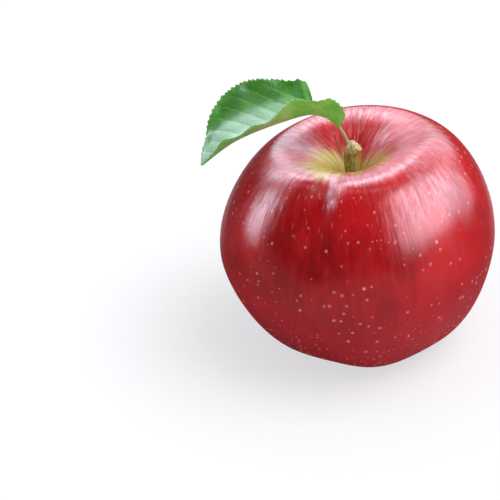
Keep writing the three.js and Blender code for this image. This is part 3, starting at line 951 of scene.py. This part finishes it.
def vein_lines(n, along, out, edge):
    """The same side veins as the relief, as fine lines."""
    from_rib = n.calc("ABSOLUTE", out)
    bent = n.times(n.times(from_rib, from_rib), VEIN_BEND)
    start = n.minus(n.minus(along, n.times(from_rib, VEIN_SLANT)), bent)
    stagger = n.between(out, -0.01, 0.01, 0.0, FAR_STAGGER)
    turn = n.calc("FRACT", n.plus(n.calc("DIVIDE", start, VEIN_PITCH), n.plus(stagger, 0.5)))
    aside = n.times(n.calc("ABSOLUTE", n.minus(turn, 0.5)), VEIN_PITCH)
    return n.times(n.between(aside, VEIN_LINE, 0.0), n.between(edge, 1.0, 0.7))


def leaf_material():
    """A darker, glossier top, and a paler, duller underside that is painted greener towards the tip,
    against the red light that the fruit throws on it. The stalk is a light brown twig."""
    made, n = material("apple_leaf_green")
    vein, edge, upper, out, along, stalk = (
        n.layer(name) for name in ("vein", "edge", "upper", "out", "along", "stalk"))
    at = n.add("ShaderNodeCombineXYZ", {0: along, 1: out, 2: upper}).outputs[0]
    vein = n.most(vein, vein_lines(n, along, out, edge))
    patches = n.between(n.noise(at, 6.0, 3.0), 0.3, 0.7)
    net = n.between(n.cells(at, 0.75).outputs["Distance"], 0.25, 0.6)
    top = n.mix(patches, (0.040, 0.205, 0.008), (0.085, 0.350, 0.020))
    top = n.mix(n.times(net, 0.25), top, (0.12, 0.38, 0.08))
    top = n.mix(n.times(vein, 0.75), top, (0.30, 0.56, 0.20))
    under = n.mix(patches, (0.19, 0.50, 0.070), (0.34, 0.67, 0.145))
    # Painted light: towards the tip the underside is painted greener, to cancel the red light that the
    # fruit bounces onto it.
    under = n.mix(n.between(along, 20.0, 36.0, 0.0, 0.85), under, (0.085, 0.62, 0.050))
    under = n.mix(n.times(net, 0.25), under, (0.18, 0.62, 0.11))
    under = n.mix(n.times(vein, 0.6), under, (0.46, 0.80, 0.28))
    # Painted highlight: the margin of the underside is painted paler, where its edge catches the light.
    under = n.mix(n.between(edge, 0.90, 1.0, 0.0, 0.5), under, (0.36, 0.72, 0.20))
    twig = n.mix(n.between(n.noise(at, 0.4, 3.0), 0.3, 0.7), (0.34, 0.29, 0.11), (0.60, 0.52, 0.26))
    colour = n.mix(stalk, n.mix(upper, under, top), twig)
    rough = n.between(n.noise(at, 3.0, 3.0), 0.3, 0.7, 0.36, 0.48)
    rough = n.plus(rough, n.times(n.minus(1.0, upper), 0.22))
    normal = n.bump(n.noise(at, 1.3, 3.0), 0.08, 0.35, n.bump(net, 0.04, 0.4))
    n.surface(Base_Color=colour, Roughness=rough, Normal=normal, IOR=1.55,
              Subsurface_Weight=0.35, Subsurface_Radius=(0.6, 1.0, 0.3), Subsurface_Scale=1.0 * MM,
              Specular_IOR_Level=n.between(along, 10.0, 17.0, 0.12, 0.5),
              Coat_Weight=n.between(along, 13.0, 21.0, 0.0, 0.9), Coat_Roughness=0.36)
    return made


# ---- calyx ----

def make_sepal(index, dried, offset):
    """A narrow dried sepal that hangs from the calyx ring and curls back outward."""
    share = np.linspace(0, 1, SEPAL_ROWS)
    seed = 3.0 * index + 1
    curl = SEPAL_CURL * (0.85 + 0.3 * chance(seed, 0.3))
    angle = -math.pi / 2 + np.cumsum(np.full(SEPAL_ROWS, curl / SEPAL_ROWS) * (0.5 + share))
    step = SEPAL_LENGTH / SEPAL_ROWS
    run = SEPAL_RING_RADIUS + np.cumsum(step * np.cos(angle)) - step * np.cos(angle[0])
    drop = BASIN_DEPTH - SEPAL_SETBACK + np.cumsum(step * np.sin(angle)) - step * np.sin(angle[0])
    half = SEPAL_HALF_WIDTH * (1 - SEPAL_TAPER * share ** 1.5)
    half = half * (1 + SEPAL_RAGGEDNESS * wander(share * 9, seed))
    sway = SEPAL_SWAY * share ** 2 * chance(seed, 7.1)
    face = np.stack([-np.sin(angle), np.zeros(SEPAL_ROWS), np.cos(angle)], 1)
    middle = np.stack([run, sway, drop], 1)[:, None]
    rings = []
    for layer in (1, -1):
        across = layer * np.linspace(-1, 1, SEPAL_COLUMNS)
        cup = SEPAL_CUP * half[:, None] * across[None] ** 2 + SEPAL_RIBBING * np.cos(9 * across)[None]
        crease = np.array([[noise.noise(Vector((s * 5, a * 3, seed))) for a in across] for s in share])
        thin = layer * SEPAL_THICKNESS / 2 * (1 - 0.6 * np.abs(across))[None]
        depth = cup + SEPAL_CREASE * crease + thin
        y = np.zeros((SEPAL_ROWS, SEPAL_COLUMNS, 3))
        y[..., 1] = across[None] * half[:, None]
        rings.append(middle + y - face[:, None] * depth[..., None])
    points, faces = capped_tube(np.concatenate(rings, 1))
    turn = LOBE_ANGLE + (index + 0.5) * 2 * math.pi / SEPALS
    c, s = math.cos(turn), math.sin(turn)
    points = points @ np.array([[c, s, 0], [-s, c, 0], [0, 0, 1]])
    piece(f"apple_sepal_{index + 1}", f"sepal_{index + 1}", "calyx",
          points + offset, faces, dried, tip=np.concatenate([np.repeat(share, 2 * SEPAL_COLUMNS), [0, 1]]))


def filament(k, floor):
    """One thin dried filament that leans its own way and ends in a shrunken anther."""
    share = np.linspace(0, 1, FILAMENT_ROWS)
    start = FILAMENT_RING + FILAMENT_RING_WIDTH * ((k * GOLDEN_SHARE) % 1)
    reach = start + 0.35 * chance(k * 2.3, 1.1)
    tall = FILAMENT_LENGTH + 1.1 * chance(k * 3.1, 4.2)
    out = blend(start, reach, share ** 2)
    turn = k * GOLDEN_ANGLE + 0.3 * chance(k * 1.7, 0)
    turn = turn + 0.5 * share ** 2 * chance(k * 1.3, 8.8)
    line = np.stack([out * np.cos(turn), out * np.sin(turn), floor - tall * share], 1)
    thick = FILAMENT_RADIUS - 0.03 * share + ANTHER_SWELL * hump(share, 0.93, 0.08)
    return capped_tube(tube(line, thick, FILAMENT_SIDES)[0])


def make_stamens(dried, offset):
    """A tuft of filaments round a thicker bundle of styles."""
    floor = BASIN_DEPTH + PIT_DEPTH - STEM_GAP
    share = np.linspace(0, 1, FILAMENT_ROWS)
    style = np.stack([0.15 * share ** 2, 0.1 * share, floor - STYLE_LENGTH * share], 1)
    styles = capped_tube(tube(style, STYLE_RADIUS - 0.2 * share, STYLE_SIDES)[0])
    points, faces = gathered([filament(k, floor) for k in range(FILAMENTS)] + [styles])
    piece("apple_stamens", "stamens", "calyx", points + offset, faces, dried,
          tip=(floor - points[:, 2]) / TUFT_LENGTH)


def dried_material():
    made, n = material("apple_calyx_dried")
    tip = n.layer("tip")
    at = n.place()
    fluff = n.noise(at, 0.35, 4.0, 0.7)
    fuzzy = n.between(fluff, 0.35, 0.65)
    blotch = n.between(n.noise(at, 1.5, 3.0), 0.3, 0.7, -0.35, 0.35)
    olive = n.mix(fuzzy, (0.10, 0.085, 0.03), (0.36, 0.33, 0.17))
    brown = n.mix(fuzzy, (0.04, 0.024, 0.012), (0.25, 0.16, 0.08))
    colour = n.mix(n.between(n.plus(tip, blotch), 0.25, 0.75), olive, brown)
    n.surface(Base_Color=colour, Roughness=n.between(fluff, 0.3, 0.7, 0.95, 0.75),
              Normal=n.bump(fluff, 0.2, 0.8), Sheen_Weight=0.25, Sheen_Roughness=0.5)
    return made


# ---- studio ----

FOCUS = Vector((2.14, 0.0, 32.0)) * MM
CAMERA_DISTANCE = 0.6
CAMERA_ELEVATION = math.radians(30)
CAMERA_TURN = math.radians(3.01)
CAMERA_DIP = math.radians(0.304)
LENS = 146.4
LIGHT_COLOUR = (0.79, 0.91, 1.07)
FILL_COLOUR = (1.0, 0.97, 0.94)
ROOM_COLOUR = (0.96, 0.97, 1.0, 1.0)
SOFT_EDGE = 0.36
ROOM_GLOW = 0.02
ROOM_FILL = 0.44
BACKGROUND_GLOW = 1.08
FLOOR_BRIGHT_Y = -0.07
FLOOR_DIM_Y = 0.02
FLOOR_NEAR = 0.03
FLOOR_FAR = 0.11
FLOOR_LEAST_GLOW = 0.60
FLOOR_HALF_SIDE = 6.0
FLOOR_GLINT = (0.0, 0.12, 0.0)
GLINT_EDGE = 0.11
GLINT_CORE = 0.07


def facing(place):
    """The turn of something at that place that looks at the fruit's middle."""
    return (FOCUS - place).to_track_quat("-Z", "Y")


def make_camera():
    """Looks a little to the left of the fruit and below its middle."""
    camera = placed("camera", bpy.data.cameras.new("camera"))
    way = Vector((0, -math.cos(CAMERA_ELEVATION), math.sin(CAMERA_ELEVATION)))
    camera.location = FOCUS + way * CAMERA_DISTANCE
    aside = Euler((-CAMERA_DIP, CAMERA_TURN, 0)).to_quaternion()
    camera.rotation_euler = (facing(camera.location) @ aside).to_euler()
    camera.data.lens = LENS
    camera.data.sensor_width = 36
    camera.data.clip_start = 0.01
    bpy.context.scene.camera = camera


def softbox(name, at, distance, size, glow, is_fill=False):
    """A rectangular light with soft edges that faces the fruit. It stands at an azimuth and an
    elevation in degrees, where azimuth 0 is in front of the fruit and 90 to its right. A fill
    light colours what it falls on. The others only shine on gloss."""
    data = bpy.data.lights.new(name, "AREA")
    width, height = (side / (1 - SOFT_EDGE) for side in size)
    data.shape, data.size, data.size_y = "RECTANGLE", width, height
    data.energy = glow * math.pi * width * height
    data.color = FILL_COLOUR if is_fill else LIGHT_COLOUR
    n = Nodes(data)
    across = n.add("ShaderNodeSeparateXYZ", {0: n.add("ShaderNodeNewGeometry").outputs["Parametric"]})
    fades = []
    for side in ("X", "Y"):
        off_middle = n.calc("ABSOLUTE", n.minus(across.outputs[side], 0.5))
        fades.append(n.between(off_middle, 0.5, 0.5 - SOFT_EDGE))
    n.finish(n.add("ShaderNodeEmission", {"Strength": n.times(*fades)}), "ShaderNodeOutputLight")
    light = placed(name, data)
    a, e = (math.radians(angle) for angle in at)
    light.location = FOCUS + distance * Vector(
        (math.sin(a) * math.cos(e), -math.cos(a) * math.cos(e), math.sin(e)))
    light.rotation_euler = facing(light.location).to_euler()
    light.visible_diffuse = is_fill
    light.visible_glossy = not is_fill


def make_room():
    """Dim to everything but the eye, so that the reds stay deep, with a white backdrop."""
    world = bpy.data.worlds.new("studio")
    bpy.context.scene.world = world
    n = Nodes(world)
    ray = n.add("ShaderNodeLightPath").outputs
    glow = n.between(ray["Is Camera Ray"], 0.0, 1.0, ROOM_GLOW, BACKGROUND_GLOW)
    glow = n.plus(glow, n.times(ray["Is Diffuse Ray"], ROOM_FILL))
    back = n.add("ShaderNodeBackground", {"Color": ROOM_COLOUR, "Strength": glow})
    n.finish(back, "ShaderNodeOutputWorld")


def floor_material():
    """White paper that fades into the backdrop. In the fruit's gloss it is dim, but for a brighter
    stretch in front and a glint behind. It is bright as fill."""
    made, n = material("floor_paper")
    ray = n.add("ShaderNodeLightPath").outputs
    place = n.add("ShaderNodeTexCoord").outputs["Object"]
    depth = n.add("ShaderNodeSeparateXYZ", {0: place}).outputs["Y"]
    from_glint = n.add("ShaderNodeVectorMath", {0: place, 1: FLOOR_GLINT}, operation="DISTANCE")
    from_middle = n.add("ShaderNodeVectorMath", {0: place}, operation="LENGTH").outputs["Value"]
    paper = n.mix(n.noise(place, 2 * MM, 3.0), (0.82, 0.82, 0.825), (0.86, 0.86, 0.865))
    behind = n.between(depth, FLOOR_BRIGHT_Y, FLOOR_DIM_Y)
    glint = n.between(from_glint.outputs["Value"], GLINT_EDGE, GLINT_CORE)
    mirrored = n.mix(behind, (0.28, 0.28, 0.30), (0.06, 0.06, 0.065))
    mirrored = n.mix(glint, mirrored, (0.60, 0.60, 0.62))
    bounced = n.mix(ray["Is Diffuse Ray"], mirrored, (0.95, 0.95, 0.95))
    matt = n.add("ShaderNodeBsdfDiffuse", {"Color": n.mix(ray["Is Camera Ray"], bounced, paper)})
    glow = n.add("ShaderNodeEmission", {"Color": ROOM_COLOUR, "Strength": BACKGROUND_GLOW})
    faded = n.between(from_middle, FLOOR_NEAR, FLOOR_FAR, FLOOR_LEAST_GLOW, 1.0)
    share = n.times(ray["Is Camera Ray"], faded)
    n.finish(n.add("ShaderNodeMixShader", {0: share, 1: matt.outputs[0], 2: glow.outputs[0]}))
    return made


def make_floor():
    mesh = bpy.data.meshes.new("floor")
    side = FLOOR_HALF_SIDE
    corners = [(-side, -side, 0), (side, -side, 0), (side, side, 0), (-side, side, 0)]
    mesh.from_pydata(corners, [], [(0, 1, 2, 3)])
    mesh.materials.append(floor_material())
    floor = placed("floor", mesh)


make_camera()
softbox("right_box", at=(69, 30), distance=0.60, size=(0.64, 0.42), glow=8.8)
softbox("right_rear_box", at=(108, 20), distance=0.60, size=(0.26, 0.42), glow=3.6)
softbox("right_upper_box", at=(76, 54), distance=0.65, size=(0.50, 0.16), glow=2.9)
softbox("left_low_box", at=(-97, 17), distance=0.60, size=(0.20, 0.34), glow=8.5)
softbox("left_box", at=(-122, 38), distance=0.60, size=(0.42, 0.34), glow=2.3)
softbox("back_left_box", at=(-147, 41), distance=0.70, size=(0.46, 0.26), glow=7.9)
softbox("back_low_box", at=(-166, 22), distance=0.206, size=(0.05, 0.05), glow=3.4)
softbox("back_box", at=(158, 36), distance=0.75, size=(0.80, 0.56), glow=4.4)
softbox("back_high_box", at=(136, 59), distance=0.70, size=(0.46, 0.17), glow=2.7)
softbox("back_upper_box", at=(-170, 51), distance=0.75, size=(0.26, 0.26), glow=7.4)
softbox("top_strip", at=(-115, 83), distance=0.70, size=(0.10, 0.85), glow=1.8)
softbox("key_box", at=(78, 58), distance=0.70, size=(0.60, 0.60), glow=3.7, is_fill=True)
make_room()
make_floor()
core = make_fruit(skin_material())
make_stem(bark_material(), core)
make_leaf(leaf_material(), core)
calyx_look, calyx_core = dried_material(), core + (core_x(BASIN_DEPTH), 0, 0)
for index in range(SEPALS):
    make_sepal(index, calyx_look, calyx_core)
make_stamens(calyx_look, calyx_core)
bpy.context.scene.view_settings.view_transform = "Standard"
